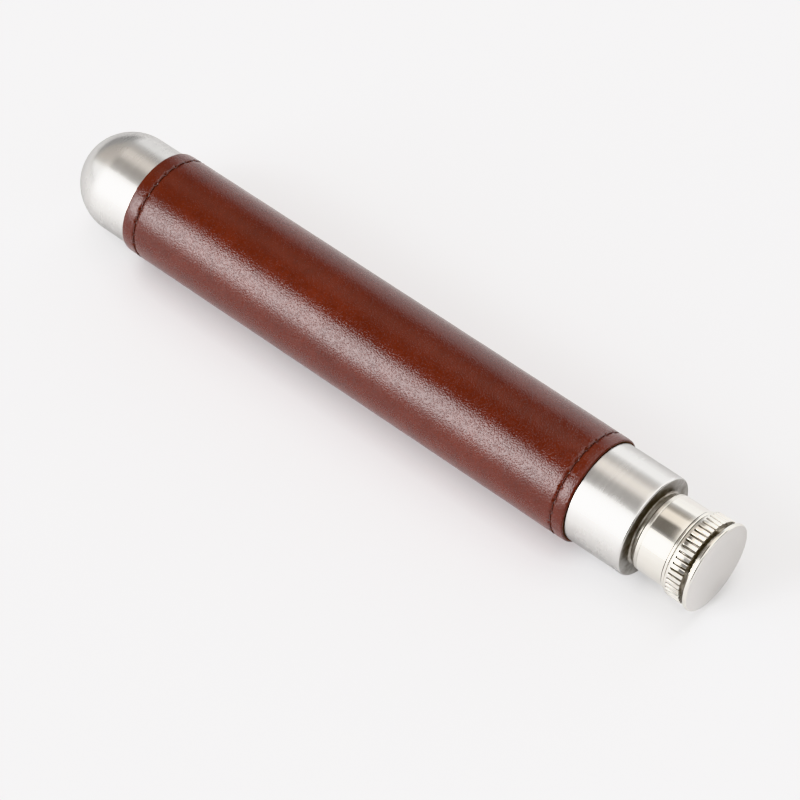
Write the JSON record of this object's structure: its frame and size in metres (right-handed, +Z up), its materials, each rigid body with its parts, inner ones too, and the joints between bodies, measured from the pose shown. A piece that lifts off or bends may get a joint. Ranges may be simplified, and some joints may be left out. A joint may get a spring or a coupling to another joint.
{
  "type": "hip flask",
  "caption": "Slim tube-shaped hip flask: domed stainless tube in a stitched leather wrap, closed by a knurled screw cap with a flat disc top.",
  "frame": {"origin": "on the resting surface, under the middle of the flask's length and width as it lies on its sewn underside", "axes": "+X along the tube from the domed end to the cap, +Z up with the leather's seam underneath"},
  "size_m": [0.1852, 0.0267, 0.0265],
  "materials": {
    "satin_steel": "fine satin brushed round the tube",
    "cap_nickel": "turned and polished, warm nickel tone",
    "brown_leather": "smooth semi-gloss with fine grain",
    "split_leather": "raw split back",
    "dark_thread": "waxed thread",
    "seal_silicone": "soft matte"
  },
  "bodies": {
    "flask": {"body_tube": "satin_steel", "dome_end": "satin_steel", "shoulder_plate": "satin_steel", "neck": "satin_steel", "neck_solder_ring": "satin_steel", "wrap_lining": "split_leather", "leather_wrap": "brown_leather", "hem_stitching_dome_end": "dark_thread", "hem_stitching_neck_end": "dark_thread", "seam_stitching": "dark_thread"},
    "liner": {"cap_liner": "seal_silicone"},
    "cap": {"cap_shell": "cap_nickel", "cap_knurled_ring": "cap_nickel", "cap_top_disc": "cap_nickel"}
  },
  "joints": [
    {"name": "cap_lift", "type": "slide", "parent": "flask", "child": "liner", "axis": [1, 0, 0], "range_m": [0, 0.0101]},
    {"name": "cap_turn", "type": "hinge", "parent": "liner", "child": "cap", "pos_m": [0.0834, 0, 0.0132], "axis": [1, 0, 0], "range_deg": [0, 1440]}
  ],
  "couplings": [
    {"joint": "cap_lift", "follows": "cap_turn", "m_per_rad": 0.00039789}
  ]
}
